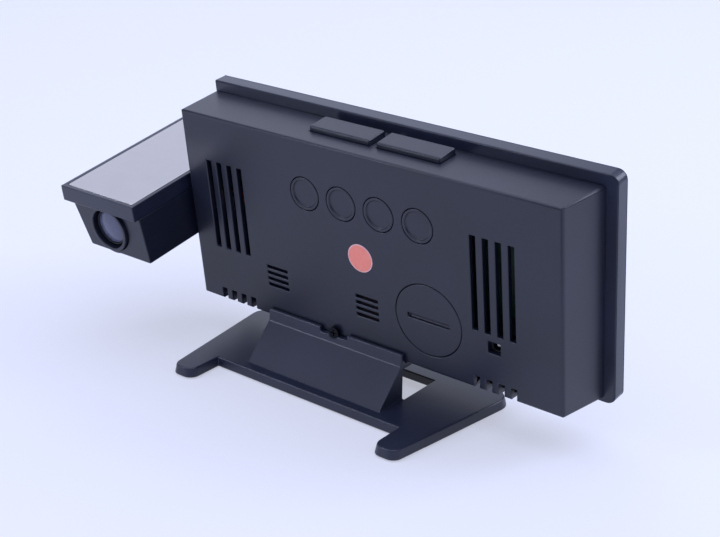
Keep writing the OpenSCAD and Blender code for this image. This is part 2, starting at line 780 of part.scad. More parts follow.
module inspection_sticker() color("#e4605c") at_case()
    translate([sticker_x, 0.12, sticker_z]) bar_y(sticker_r, 0.12);

// Half width of the stand's plate at depth y
base_slope = (base_front_w - base_rear_w) / (base_front_y + base_rear_y);
function base_half(y) = base_rear_w + (base_rear_y - y) * base_slope;

// Middle of a corner arc of radius r at depth y that touches the outer side, grown by g
function corner_x(y, g, r) = base_half(y) + g - r / cos(atan(base_slope));

// One layer of the plate's body at height z, grown by g
module base_body(g, z) {
    a = atan(base_slope);
    front_y = -base_front_y - g + base_r;
    right = concat(
        arc(corner_x(front_y, g, base_r), front_y, base_r, -90, a, 6),
        [[base_half(bar_y) + g, bar_y + g]]);
    left = [for (i = [len(right) - 1 : -1 : 0]) [-right[i][0], right[i][1]]];
    translate([0, 0, z]) linear_extrude(eps) polygon(concat(right, left));
}

// One layer of a rear foot at height z, grown by g
module base_foot(g, z) {
    a = atan(base_slope);
    r = tip_r;
    translate([0, 0, z]) linear_extrude(eps) polygon(concat(
        [[base_half(0) + g, 0]],
        arc(corner_x(base_rear_y + g - r, g, r), base_rear_y + g - r, r, a, 90, 6),
        arc(foot_gap - g + r, base_rear_y + g - r, r, 90, 180, 5),
        [[foot_gap - g, 0]]));
}

// Side view of the wedge in y and z: sloping panel, upright strip, shelf and open front
strip_gap = 0.05;
ledge_h = 2;
ledge_d = 14;
strip_foot_z = case_z - 0.7;
strip_top_z = case_z + strip_lap;
ledge_z = case_z - seat - ledge_h;
gusset_y = case_y + 1;
function face_y_at(z) = case_y + (z - case_z) * tan(lean) + strip_gap;
strip_foot_y = face_y_at(strip_foot_z) + strip_foot_t;
wedge_angle = atan2(strip_foot_z - floor_top, wedge_y - strip_foot_y);
wedge_skin = wedge_wall / sin(wedge_angle);
panel_top_y = wedge_y - (ledge_z - floor_top) / tan(wedge_angle) - wedge_skin;
module wedge_profile() {
    polygon([
        [wedge_y, floor_top - eps], [wedge_y, floor_top],
        [strip_foot_y, strip_foot_z],
        [face_y_at(strip_top_z) + strip_t, strip_top_z],
        [face_y_at(strip_top_z), strip_top_z],
        [face_y_at(case_z), case_z - seat],
        [gusset_y - ledge_d, case_z - seat], [gusset_y - ledge_d, ledge_z],
        [gusset_y, ledge_z], [gusset_y, floor_top - eps]]);
}

module stand() color("#2f313a") at_desk() difference() {
    union() {
        difference() {
            union() {
                hull() {
                    base_body(base_draft, pad_foot);
                    base_body(0, floor_top - eps);
                }
                for (m = [0, 1])
                    mirror([m, 0, 0]) hull() {
                        base_foot(base_draft, pad_foot);
                        base_foot(0, floor_top - eps);
                    }
            }
            // window in front of the wedge
            translate([-wedge_w - 0.6, -window_y, 0]) cube([2 * wedge_w + 1.2, window_y + gusset_y, 20]);
        }
        difference() {
            rotate([90, 0, 90]) translate([0, 0, -wedge_w]) linear_extrude(2 * wedge_w) wedge_profile();
            // hollow behind the sloping panel
            rotate([90, 0, 90]) translate([0, 0, -wedge_w + wedge_wall])
                linear_extrude(2 * wedge_w - 2 * wedge_wall) polygon([
                    [wedge_y - wedge_skin, 0], [wedge_y - wedge_skin, floor_top],
                    [panel_top_y, ledge_z], [gusset_y - ledge_d - 1, ledge_z], [gusset_y - ledge_d - 1, 0]]);
        }
        hooks(0);
    }
    // notch in the strip's upper edge, with a round seat for the screw's head
    translate([0, face_y_at(strip_top_z), strip_top_z])
        cube([strip_notch_w, 12, 2 * strip_notch_h], center = true);
    case_pose() translate([-case_shift, 6, stand_screw_z]) {
        bar_y(stand_head_r + 0.2, 6 - stand_seat_y);
        bar_y(stand_screw_r + 0.3, 20);
    }
    // recesses for the rubber feet
    foot_places() translate([0, 0, pad_foot - 1]) cylinder(h = 1.7, r = foot_r + seat);
}

stand_screw_r = 1.05;
stand_head_r = 2;
stand_seat_y = 0.6;
module foot_places() {
    for (sx = [-1, 1]) {
        translate([sx * (foot_gap + base_rear_w) / 2, base_rear_y - foot_r - 1.6, 0]) children();
        translate([sx * (base_front_w - foot_r - 4.4), -base_front_y + foot_r + 4, 0]) children();
    }
}

module rubber_feet() color("#1a1a1c") at_desk() foot_places() cylinder(h = pad_foot + 0.6, r = foot_r);

module stand_screw() color("#2a2b30") at_case()
    translate([-case_shift, stand_seat_y + seat / 2, stand_screw_z]) rotate([-90, 0, 0])
        screw(stand_screw_r, 8, stand_head_r, 0.9);

// Side view of the arm's frame in x and z
module arm_frame_profile(inset) {
    polygon([
        [arm_x0 + inset, arm_split], [arm_x0 + inset, arm_top],
        [arm_x1 - inset, arm_top], [arm_x1 + arm_flare - inset, arm_split]]);
}

// Plan of the arm's frame: both outer corners are rounded
arm_corner_r = 1;
module arm_plan(x1, inset) {
    r = arm_corner_r;
    h = arm_len / 2 - inset;
    polygon(concat(
        [[arm_x0 + inset, h], [arm_x0 + inset, -h]],
        arc(x1 - inset - r, -h + r, r, -90, 0, 5),
        arc(x1 - inset - r, h - r, r, 0, 90, 5)));
}

module along_arm(l) {
    translate([0, l / 2, 0]) rotate([90, 0, 0]) linear_extrude(l) children();
}

mirror_in = 1.4;
arm_mirror_t = 1.4;
arm_boss_r = 2.1;
arm_hub_r = hub_out_r - 0.6;
module arm_boss_places() {
    inner = arm_x0 + arm_wall + arm_boss_r + 0.5;
    outer = arm_case_x1 - arm_taper - 1.2 * arm_wall - arm_boss_r - 2.4;
    rear = -arm_case_len / 2 + 7;
    front = arm_case_len / 2 - 14;
    for (p = [[inner, rear], [outer, rear], [inner, front]])
        translate([p[0], p[1], 0]) children();
}

module arm_frame() color("#363944") at_arm() difference() {
    union() {
        intersection() {
            along_arm(arm_len) arm_frame_profile(0);
            translate([0, 0, arm_split - 1]) linear_extrude(arm_frame_t + 2) arm_plan(arm_x1 + arm_flare, 0);
        }
        arm_boss_places() translate([0, 0, arm_floor + arm_wall + seat])
            cylinder(h = arm_h - arm_wall - 2 - seat, r = arm_boss_r);
    }
    // seat for the mirror plate
    translate([0, 0, arm_top - arm_mirror_t - 0.1]) linear_extrude(arm_mirror_t + 1)
        arm_plan(arm_x1, mirror_in);
    // hollow underside
    difference() {
        translate([arm_x0 + arm_wall, -arm_case_len / 2 + arm_wall, arm_split - 1])
            cube([arm_w - 2 * arm_wall, arm_case_len - 2 * arm_wall, arm_frame_t - arm_mirror_t - 1.5 + 1]);
        arm_boss_places() translate([0, 0, arm_split - 2]) cylinder(h = arm_frame_t + 2, r = arm_boss_r);
    }
    arm_boss_places() translate([0, 0, arm_floor]) cylinder(h = 12, r = arm_screw_r + 0.05);
    // room for the pivot's hub and for the focus ring
    translate([arm_x0 - 1, 0, 0]) bar_x(arm_hub_r + seat, arm_wall + 1 + eps);
    translate([lens_cx, face_y + focus_proud + air, lens_z])
        bar_y(focus_r + air, focus_proud + 2 * air + arm_wall + 0.5);
    translate([lens_cx, inner_face_y, lens_z]) bar_y(skirt_r + ring_air, skirt_l + 1);
}

module arm_mirror() color("#b4b3c2") at_arm() translate([0, 0, arm_top - arm_mirror_t - 0.05])
    linear_extrude(arm_mirror_t) arm_plan(arm_x1, mirror_in + 0.2);

// Side view of the arm's case, shrunk by inset
module arm_case_profile(inset) {
    polygon([
        [arm_x0 + inset, arm_split + (inset > 0 ? 1 : 0)],
        [arm_x0 - arm_side + inset, arm_floor + inset],
        [arm_case_x1 - arm_taper - inset * 1.2, arm_floor + inset],
        [arm_case_x1 - inset * 1.2, arm_split + (inset > 0 ? 1 : 0)]]);
}

module arm_case() color("#31343e") at_arm() difference() {
    union() {
        difference() {
            union() {
                along_arm(arm_case_len) arm_case_profile(0);
                // bulge round the focus ring
                intersection() {
                    translate([lens_cx, face_y, lens_z]) bar_y(bulge_r, 9);
                    translate([arm_x0, 0, arm_floor - 2])
                        cube([arm_w, arm_len, arm_split - arm_floor + 2]);
                }
            }
            difference() {
                along_arm(arm_case_len - 2 * arm_wall) arm_case_profile(arm_wall);
                // screw seats on the floor
                arm_boss_places() translate([0, 0, arm_floor]) cylinder(h = arm_wall + eps, r = arm_boss_r + 0.9);
            }
            translate([lens_cx, inner_face_y + eps, lens_z]) bar_y(skirt_r + ring_air, skirt_l + 0.3);
        }
        // hub towards the case
        translate([hub_arm_x, 0, 0]) bar_x(arm_hub_r, arm_x0 - hub_arm_x + arm_wall);
        // bridge that carries the lens guide
        translate([lens_cx - bridge_w / 2, bridge_y, arm_floor + eps])
            cube([bridge_w, bridge_t, lens_z - arm_floor + 2]);
    }
    // opening for the focus ring
    translate([lens_cx, face_y + 1, lens_z]) bar_y(focus_r + 0.2, arm_wall + 3);
    translate([hub_arm_x - 1, 0, 0]) bar_x(pivot_r, arm_x0 - hub_arm_x + arm_wall + 3);
    arm_boss_places() {
        translate([0, 0, arm_floor - 1]) cylinder(h = 5, r = arm_screw_r + 0.3);
        translate([0, 0, arm_floor - 1]) cylinder(h = 1.9, r = 2.1);
    }
    translate([lens_cx, bridge_y + bridge_t + 1, lens_z]) bar_y(guide_r + 0.05, bridge_t + 2);
}

// Upright rib on the arm's floor, bored for the guide
bridge_w = 17;
bridge_t = 3;
bridge_y = 6;

arm_screw_r = 0.8;
module arm_screws() color("#8d9098") at_arm()
    arm_boss_places() translate([0, 0, arm_floor + 0.9]) rotate([180, 0, 0]) 
        screw(arm_screw_r, 6, 1.9, 0.8);

tube_x = hub_case_x - hub_wall - 3.4;
tube_rim_t = 1.4;
module pivot_tube() color("#9a9ca4") at_arm() difference() {
    union() {
        translate([tube_x, 0, 0]) bar_x(pivot_r, arm_x0 + arm_wall - tube_x + eps);
        translate([arm_x0 + arm_wall, 0, 0]) bar_x(pivot_r + 1.6, tube_rim_t);
    }
    translate([tube_x - 1, 0, 0]) bar_x(pivot_bore, arm_x0 + arm_wall + tube_rim_t - tube_x + 2);
    // groove for the retaining ring
    translate([hub_case_x - hub_wall - 2.2, 0, 0]) difference() {
        bar_x(pivot_r + 1, 1);
        translate([-1, 0, 0]) bar_x(pivot_r - 0.8, 3);
    }
}

washer_rim = 0.85;
module friction_washer() color("#c0c3ca") at_arm()
    translate([hub_case_x - hub_wall - 1.1, 0, 0]) difference() {
    bar_x(pivot_r + washer_rim, 0.8);
    translate([-1, 0, 0]) bar_x(pivot_r + 0.1, 3);
}

module pivot_ring() color("#a9acb4") at_arm() translate([hub_case_x - hub_wall - 2.1, 0, 0]) difference() {
    bar_x(pivot_r + washer_rim, 0.8);
    translate([-1, 0, 0]) bar_x(pivot_r - 0.75, 3);
    translate([-1, -1.6, 0]) cube([3, 3.2, 12]);
}

guide_rear_y = 0;
guide_front_y = inner_face_y - 0.6;
guide_floor_y = bridge_y + bridge_t;
bore_in_r = 4.6;
condenser_r = 5.3;
module lens_guide() color("#22242a") at_arm() translate([lens_cx, 0, lens_z]) difference() {
    translate([0, guide_front_y, 0]) bar_y(guide_r, guide_front_y - guide_rear_y);
    translate([0, guide_front_y + 1, 0]) bar_y(barrel_r + run_fit, guide_front_y + 1 - guide_floor_y);
    translate([0, guide_front_y + 1, 0]) bar_y(bore_in_r, guide_front_y + 2 - guide_rear_y);
    translate([0, guide_rear_y + 4, 0]) bar_y(condenser_r + 0.05, 5);
}

module focus_ring() color("#1f2128") at_arm() translate([lens_cx, 0, lens_z]) difference() {
    union() {
        translate([0, face_y + focus_proud, 0]) bar_y(focus_r, focus_proud + arm_wall + air + eps);
        translate([0, inner_face_y - air, 0]) bar_y(skirt_r, skirt_l - air);
    }
    translate([0, face_y + focus_proud + 1, 0]) bar_y(guide_r + run_fit, skirt_l + arm_wall + 4);
}

barrel_front_y = face_y - 0.4;
barrel_rear_y = guide_floor_y + lens_travel + air;
lens_y = barrel_front_y - 1.2;
module lens_barrel() color("#2a2c33") at_arm() translate([lens_cx, 0, lens_z]) difference() {
    translate([0, barrel_front_y, 0]) bar_y(barrel_r, barrel_front_y - barrel_rear_y);
    translate([0, barrel_front_y + 1, 0]) bar_y(glass_r + 0.05, barrel_front_y + 1 - lens_y + lens_edge / 2);
    translate([0, barrel_front_y + 1, 0]) bar_y(glass_r - 0.4, barrel_front_y - barrel_rear_y + 2);
}

// A lens lying on z = 0 with domed faces
module lens(r, edge, dome) {
    rs = (r * r + dome * dome) / (2 * dome);
    a = asin(r / rs);
    rotate_extrude() polygon(concat(
        [[0, -edge / 2 - dome]],
        [for (i = [1 : 8]) [rs * sin(a * i / 8), -edge / 2 - dome + rs - rs * cos(a * i / 8)]],
        [for (i = [8 : -1 : 1]) [rs * sin(a * i / 8), edge / 2 + dome - rs + rs * cos(a * i / 8)]],
        [[0, edge / 2 + dome]]));
}

lens_edge = 1.2;
module projection_lens() color("#8f93a8") at_arm()
    translate([lens_cx, lens_y + 0.2, lens_z]) rotate([90, 0, 0]) lens(glass_r, lens_edge, 1);

module condenser_lens() color("#a8acc0") at_arm()
    translate([lens_cx, guide_rear_y + 2.6, lens_z]) rotate([90, 0, 0]) lens(condenser_r, 1, 0.7);

mask_t = 1.1;
module digit_mask() color("#202a38") at_arm()
    translate([lens_cx, guide_rear_y - seat / 2, lens_z]) block(11, 10, mask_t);

led_board_y = -10;
module projector_led() color("#d84a4a") at_arm()
    translate([lens_cx, led_board_y + 0.02, lens_z]) rotate([-90, 0, 0]) {
        cylinder(h = 1, r = 2.9);
        cylinder(h = 5.2, r = 2.5);
        translate([0, 0, 5.2]) sphere(r = 2.5, $fn = 32);
    }

led_board_h = 14;
module led_board() color("#2f6b46") at_arm()
    translate([lens_cx, led_board_y, arm_floor + arm_wall + seat + led_board_h / 2])
        block(bridge_w + 2, led_board_h, board_t);

// The lead leaves the pivot's bore and turns towards the lamp's board
lead_r = 1.1;
lead_run = 7.2;
lead_turn_x = arm_x0 + lead_run;
module arm_lead() color("#c33a34") at_arm() {
    translate([tube_x, 0, 0]) bar_x(lead_r, lead_turn_x - tube_x);
    translate([lead_turn_x, 0, 0]) sphere(r = lead_r, $fn = 24);
    translate([lead_turn_x, 0, 0]) bar_y(lead_r, -led_board_y - seat);
}

// The lead's other half steps from the plug round the board's end to the pivot
plug_w = 5;
plug_d = 5.2;
plug_x = plate_mid_x + main_board_w / 2 - plug_w / 2 - 1.5;
lead_step_x = plate_mid_x + main_board_w / 2 + lead_r + 2;
lead_y = main_board_y + plug_d / 2 + seat;
module case_lead() color("#c33a34") at_case() translate([0, 0, plate_mid_z]) {
    translate([plug_x + plug_w / 2 + 0.05, lead_y, 0]) bar_x(lead_r, lead_step_x - plug_x - plug_w / 2 - 0.05);
    translate([lead_step_x, lead_y, 0]) sphere(r = lead_r, $fn = 24);
    translate([lead_step_x, lead_y, 0]) bar_y(lead_r, lead_y - plate_y - pivot_depth);
    translate([lead_step_x, plate_y + pivot_depth, 0]) sphere(r = lead_r, $fn = 24);
    translate([lead_step_x, plate_y + pivot_depth, 0]) bar_x(lead_r, tube_x - air - lead_step_x);
}

module lead_plug() color("#e8e4d8") at_case()
    translate([plug_x, main_board_y + plug_d + 0.02, plate_mid_z]) block(plug_w, 7.6, plug_d);

rear_case();
front_frame();
mirror_window();
display_reflector();
digit_segments();
main_board();
main_chip();
key_board();
key_switches();
top_board();
top_switches();
rear_button_1();
rear_button_2();
rear_button_3();
rear_button_4();
top_button_1();
top_button_2();
battery_cover();
coin_cell();
cell_contact_minus();
cell_contact_plus();
power_jack();
jack_pin();
buzzer();
temperature_sensor();
board_screws();
inspection_sticker();
stand();
stand_screw();
rubber_feet();
arm_frame();
arm_mirror();
arm_case();
arm_screws();
pivot_tube();
friction_washer();
pivot_ring();
lens_guide();
focus_ring();
lens_barrel();
projection_lens();
condenser_lens();
digit_mask();
projector_led();
led_board();
arm_lead();
case_lead();
lead_plug();
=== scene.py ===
# %% [markdown]
# # A projection alarm clock
# The clock is a slim black case behind a mirrored face. It leans back on a splayed
# stand, and a small projector arm turns about one end. Every solid comes from the
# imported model, in metres and in its final place. This lesson gives those solids soft
# edges and real finishes, and adds what is too fine for the model.

# %% Load the model
import bpy, bmesh, json, math
from mathutils import Matrix, Vector


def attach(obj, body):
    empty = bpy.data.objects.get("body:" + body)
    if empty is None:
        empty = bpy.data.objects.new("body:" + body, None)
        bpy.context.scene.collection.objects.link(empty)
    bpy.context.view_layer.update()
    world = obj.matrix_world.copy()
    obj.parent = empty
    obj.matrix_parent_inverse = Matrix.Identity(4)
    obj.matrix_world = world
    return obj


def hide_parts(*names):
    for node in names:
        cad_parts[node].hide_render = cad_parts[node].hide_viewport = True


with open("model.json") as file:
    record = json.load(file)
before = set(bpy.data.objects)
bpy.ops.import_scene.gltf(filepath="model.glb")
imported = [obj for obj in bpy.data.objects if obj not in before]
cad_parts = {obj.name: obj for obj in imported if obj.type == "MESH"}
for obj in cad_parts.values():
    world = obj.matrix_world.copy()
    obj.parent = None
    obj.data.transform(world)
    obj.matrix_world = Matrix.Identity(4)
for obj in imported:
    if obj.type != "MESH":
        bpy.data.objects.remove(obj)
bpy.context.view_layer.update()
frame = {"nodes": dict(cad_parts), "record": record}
node_body = {n: b for b, names in frame["record"]["behaviour"]["bodies"].items() for n in names}

# %% [markdown]
# ## The camera
# The photograph was taken from behind and above the clock, with a long lens. A new
# camera looks straight down, so three turns aim it: a roll about its own axis, a tilt
# up from the ground, and a turn about the vertical. The three angles, the spot and the
# lens were solved from the photograph, by matching the clock's corners.

# %% Camera
MM = 0.001
CAMERA_SPOT = (-275.03, 339.76, 223.61)  # mm
CAMERA_TURN, CAMERA_TILT, CAMERA_ROLL = 218.423, 66.950, 0.387  # degrees
LENS_MM, SENSOR_MM = 71.93, 36
NEAREST = 10 * MM


def place_camera():
    lens = bpy.data.cameras.new("photo_camera")
    lens.lens, lens.sensor_width, lens.clip_start = LENS_MM, SENSOR_MM, NEAREST
    made = bpy.data.objects.new("photo_camera", lens)
    aim = Matrix.Translation(Vector(CAMERA_SPOT) * MM)
    for degrees, axis in ((CAMERA_TURN, "Z"), (CAMERA_TILT, "X"), (CAMERA_ROLL, "Z")):
        aim = aim @ Matrix.Rotation(math.radians(degrees), 4, axis)
    made.matrix_world = aim
    bpy.context.collection.objects.link(made)
    bpy.context.scene.camera = made
    return made


camera = place_camera()
print("camera", [round(v, 4) for v in camera.location])

# %% [markdown]
# ## Colours and nodes
# Colours are easiest to read as the hex values of a paint program, but Blender mixes
# light in linear values, so one function turns hex to linear. A second small function
# adds a node with its settings and links, and a third starts a material with a shader
# and the object's own coordinates. That keeps each material to a few lines.

# %% Helpers for materials
def linear(hex_colour):
    def channel(text):
        c = int(text, 16) / 255
        return c / 12.92 if c <= 0.04045 else ((c + 0.055) / 1.055) ** 2.4
    return tuple(channel(hex_colour[i:i + 2]) for i in (1, 3, 5)) + (1.0,)


def add(tree, kind, values=None, links=None, **settings):
    made = tree.nodes.new(kind)
    for name, value in settings.items():
        setattr(made, name, value)
    for name, value in (values or {}).items():
        made.inputs[name].default_value = value
    for name, socket in (links or {}).items():
        tree.links.new(socket, made.inputs[name])
    return made


def start_material(name, **shader_values):
    material = bpy.data.materials.new(name)
    material.use_nodes = True
    tree = material.node_tree
    tree.nodes.clear()
    place = add(tree, "ShaderNodeTexCoord").outputs["Object"]
    shader = add(tree, "ShaderNodeBsdfPrincipled", shader_values)
    add(tree, "ShaderNodeOutputMaterial", links={"Surface": shader.outputs[0]})
    return material, tree, place, shader


print("a middle grey in linear light", round(linear("#808080")[0], 4))

# %% [markdown]
# ## Moulded ABS
# The case, stand and arm are black ABS from a spark-eroded mould. The mould leaves a
# fine grain about 0.3 mm across. It breaks up reflections, so the plastic looks satin
# and takes a blue-grey tone from what stands round it. A finer and a broader noise drive
# the bump, the roughness and a slight change of tone; the grain is drawn a little coarser
# than life so that it shows at this distance. A bevel node turns the light softly over
# each edge, as the worn radius of a mould does.

# %% Moulded plastic
MOTTLE_MM = 22


def moulded(name, dark, light, rough, grain_mm=0.5, depth_mm=0.02, edge_mm=0.3):
    material, tree, place, shader = start_material(
        name, **{"IOR": 1.53, "Specular IOR Level": 0.5})
    grain = add(tree, "ShaderNodeTexNoise", {"Scale": 1 / (grain_mm * MM), "Detail": 2.0},
                {"Vector": place})
    mottle = add(tree, "ShaderNodeTexNoise", {"Scale": 1 / (MOTTLE_MM * MM), "Detail": 4.0},
                 {"Vector": place})
    tone = add(tree, "ShaderNodeValToRGB", links={"Fac": mottle.outputs["Fac"]})
    tone.color_ramp.elements[0].position = 0.3
    tone.color_ramp.elements[1].position = 0.7
    tone.color_ramp.elements[0].color = linear(dark)
    tone.color_ramp.elements[1].color = linear(light)
    spread = add(tree, "ShaderNodeMapRange", {"To Min": rough - 0.05, "To Max": rough + 0.07},
                 {"Value": grain.outputs["Fac"]})
    edge = add(tree, "ShaderNodeBevel", {"Radius": edge_mm * MM}, samples=6)
    bump = add(tree, "ShaderNodeBump", {"Strength": 0.35, "Distance": depth_mm * MM},
               {"Height": grain.outputs["Fac"], "Normal": edge.outputs["Normal"]})
    tree.links.new(tone.outputs["Color"], shader.inputs["Base Color"])
    tree.links.new(spread.outputs["Result"], shader.inputs["Roughness"])
    tree.links.new(bump.outputs["Normal"], shader.inputs["Normal"])
    return material


abs_shell = moulded("moulded_abs_shell", "#141828", "#191d2f", 0.36, edge_mm=0.4)
abs_stand = moulded("moulded_abs_stand", "#1b2032", "#21263a", 0.36, edge_mm=0.5)
abs_frame = moulded("satin_abs_frame", "#1d2233", "#23283c", 0.3,
                    grain_mm=0.4, depth_mm=0.01, edge_mm=0.4)
abs_button = moulded("satin_abs_button", "#151929", "#1a1e30", 0.34,
                     grain_mm=0.4, depth_mm=0.01, edge_mm=0.6)
abs_lens = moulded("matt_black_lens_barrel", "#0d0e13", "#14151b", 0.6)
white_box = moulded("white_polystyrene", "#d6d6d0", "#e2e2dc", 0.4, depth_mm=0.005)
chip_epoxy = moulded("black_epoxy", "#131419", "#1b1c22", 0.5, grain_mm=0.2)
cream_nylon = moulded("cream_nylon", "#d8d2b8", "#e2dcc4", 0.42)
foot_rubber = moulded("black_rubber", "#15151a", "#1c1c21", 0.8, grain_mm=0.6, depth_mm=0.04)
wire_sleeve = moulded("red_pvc_sleeve", "#9c1f1a", "#b02720", 0.4, grain_mm=0.3)
sensor_dip = moulded("green_dipped_resin", "#10281a", "#173421", 0.25, grain_mm=0.8)
clear_bars = moulded("frosted_diffuser", "#aab4cc", "#b9c3da", 0.35, grain_mm=0.3)
lamp_body = moulded("red_tinted_epoxy", "#a81d18", "#bd2a22", 0.15, grain_mm=1.2, depth_mm=0.004)
print("plastics", sum("_" in m.name for m in bpy.data.materials))

# %% [markdown]
# ## Metals
# Screws, contacts and the pivot are turned, stamped or plated. What tells them apart is
# mostly how fine their tool marks are, so one recipe drives the roughness and a faint
# bump with a noise. Turning leaves rings, and there the noise is squeezed along one axis.

# %% Worked metal
def worked_metal(name, colour, rough, mark_mm, stretch=(1, 1, 1)):
    material, tree, place, shader = start_material(name, **{"Metallic": 1.0})
    shader.inputs["Base Color"].default_value = linear(colour)
    mapped = add(tree, "ShaderNodeMapping", {"Scale": stretch}, {"Vector": place})
    marks = add(tree, "ShaderNodeTexNoise", {"Scale": 1 / (mark_mm * MM), "Detail": 3.0},
                {"Vector": mapped.outputs["Vector"]})
    spread = add(tree, "ShaderNodeMapRange", {"To Min": rough - 0.06, "To Max": rough + 0.12},
                 {"Value": marks.outputs["Fac"]})
    bump = add(tree, "ShaderNodeBump", {"Strength": 0.2, "Distance": 0.01 * MM},
               {"Height": marks.outputs["Fac"]})
    tree.links.new(spread.outputs["Result"], shader.inputs["Roughness"])
    tree.links.new(bump.outputs["Normal"], shader.inputs["Normal"])
    return material


nickel = worked_metal("nickel_plate", "#c9c8c6", 0.22, 0.8)
screw_steel = worked_metal("zinc_plated_steel", "#a4a6ab", 0.32, 0.4)
brass = worked_metal("stamped_brass", "#c39a4a", 0.3, 0.5)
turned_steel = worked_metal("turned_steel", "#94969c", 0.3, 0.2, stretch=(6, 1, 1))
black_steel = worked_metal("blackened_steel", "#2a2b31", 0.34, 0.4)
print("metals", [m.name for m in (nickel, screw_steel, brass, turned_steel, black_steel)])

# %% [markdown]
# ## Mirrors
# The face is a dark half mirror: smooth plastic with a thin metal film. The arm's plate
# is a brighter, slightly satin film, which reads as a flat silver grey. A very broad,
# very shallow bump gives both the faint waviness of moulded sheet, and a finer haze
# varies how sharply they reflect.

# %% Mirror film
WAVE_MM, HAZE_MM = 30, 6


def mirror_film(name, colour, rough):
    material, tree, place, shader = start_material(name, **{"Metallic": 1.0})
    shader.inputs["Base Color"].default_value = linear(colour)
    waves = add(tree, "ShaderNodeTexNoise", {"Scale": 1 / (WAVE_MM * MM), "Detail": 1.0},
                {"Vector": place})
    haze = add(tree, "ShaderNodeTexNoise", {"Scale": 1 / (HAZE_MM * MM), "Detail": 5.0},
               {"Vector": place})
    spread = add(tree, "ShaderNodeMapRange", {"To Min": rough * 0.8, "To Max": rough * 1.3},
                 {"Value": haze.outputs["Fac"]})
    bump = add(tree, "ShaderNodeBump", {"Strength": 0.06, "Distance": 0.02 * MM},
               {"Height": waves.outputs["Fac"]})
    tree.links.new(spread.outputs["Result"], shader.inputs["Roughness"])
    tree.links.new(bump.outputs["Normal"], shader.inputs["Normal"])
    return material


face_mirror = mirror_film("dark_half_mirror", "#4a4c55", 0.06)
arm_film = mirror_film("silver_film", "#b2afb0", 0.22)
print("films", face_mirror.name, arm_film.name)

# %% [markdown]
# ## Lenses
# The lens is clear acrylic with a bluish coating and a little dust. Real glass would
# show only the black inside of the barrel, so a pale blue-grey colour lies on the surface:
# partly the coating's tint and partly a painted reflection of the bright surroundings.
# A small transparency lets some of the depth through.

# %% Coated glass
def coated_glass(name, tint, dusty, rough, alpha):
    material, tree, place, shader = start_material(name, **{"IOR": 1.49, "Alpha": alpha})
    dust = add(tree, "ShaderNodeTexNoise", {"Scale": 1 / (1.5 * MM), "Detail": 4.0},
               {"Vector": place})
    tone = add(tree, "ShaderNodeValToRGB", links={"Fac": dust.outputs["Fac"]})
    tone.color_ramp.elements[0].color = linear(tint)
    tone.color_ramp.elements[1].color = linear(dusty)
    spread = add(tree, "ShaderNodeMapRange", {"To Min": rough, "To Max": rough + 0.08},
                 {"Value": dust.outputs["Fac"]})
    tree.links.new(tone.outputs["Color"], shader.inputs["Base Color"])
    tree.links.new(spread.outputs["Result"], shader.inputs["Roughness"])
    return material


# The lens's pale blue-grey colour is partly a painted reflection, not only the coating's tint.
lens_tint_painted_reflection = coated_glass("acrylic_lens_painted_reflection", "#5e6175", "#6a6d83", 0.03, 0.85)
mask_glass = coated_glass("display_mask_glass", "#1a2333", "#1f293a", 0.08, 0.95)
print("glass", lens_tint_painted_reflection.name, mask_glass.name)

# %% [markdown]
# ## Circuit boards
# Through the vents a strip of the green board shows. Its copper tracks run under the
# lacquer as slightly raised, paler lines, which a brick pattern draws well enough.

# %% Solder mask over copper tracks
def circuit_board(name):
    material, tree, place, shader = start_material(name, **{"IOR": 1.55, "Roughness": 0.35})
    tracks = add(tree, "ShaderNodeTexBrick",
                 {"Scale": 1 / (9 * MM), "Mortar Size": 0.05, "Color1": linear("#10291b"),
                  "Color2": linear("#122d1e"), "Mortar": linear("#1d4630")},
                 {"Vector": place})
    bump = add(tree, "ShaderNodeBump", {"Strength": 0.3, "Distance": 0.03 * MM},
               {"Height": tracks.outputs["Fac"]})
    tree.links.new(tracks.outputs["Color"], shader.inputs["Base Color"])
    tree.links.new(bump.outputs["Normal"], shader.inputs["Normal"])
    return material


board_green = circuit_board("solder_mask_board")
print("board", board_green.name)

# %% [markdown]
# ## Paper
# The sticker's paper is printed red and lightly coated, so fine fibres show as a change
# of tone and of gloss. Its cut edge is the same paper with less ink. The red face is
# drawn much paler than the ink: partly for its white print, which is left out, and
# partly as painted light, brighter than the lamps make the back of the case.

# %% Coated paper
def coated_paper(name, colour, worn):
    material, tree, place, shader = start_material(name, **{"IOR": 1.45})
    fibre = add(tree, "ShaderNodeTexNoise", {"Scale": 1 / (0.7 * MM), "Detail": 4.0},
                {"Vector": place})
    tone = add(tree, "ShaderNodeValToRGB", links={"Fac": fibre.outputs["Fac"]})
    tone.color_ramp.elements[0].position = 0.35
    tone.color_ramp.elements[0].color = linear(colour)
    tone.color_ramp.elements[1].color = linear(worn)
    spread = add(tree, "ShaderNodeMapRange", {"To Min": 0.38, "To Max": 0.55},
                 {"Value": fibre.outputs["Fac"]})
    tree.links.new(tone.outputs["Color"], shader.inputs["Base Color"])
    tree.links.new(spread.outputs["Result"], shader.inputs["Roughness"])
    return material


# The pale salmon red is partly painted light and partly the white print averaged in.
sticker_red_painted_light = coated_paper("red_paper_print_and_painted_light", "#fd8d78", "#fea28e")
sticker_edge = coated_paper("pale_paper_edge", "#e8b9b6", "#f0cfcc")
print("finishes", len(bpy.data.materials))

# %% [markdown]
# ## Where the case stands
# The case leans back by seven degrees, and several things below sit on it. So it gets a
# frame of its own: x along the case, y out of its rear face, z up the face from the
# lower edge. One matrix then places whatever is described in that frame.

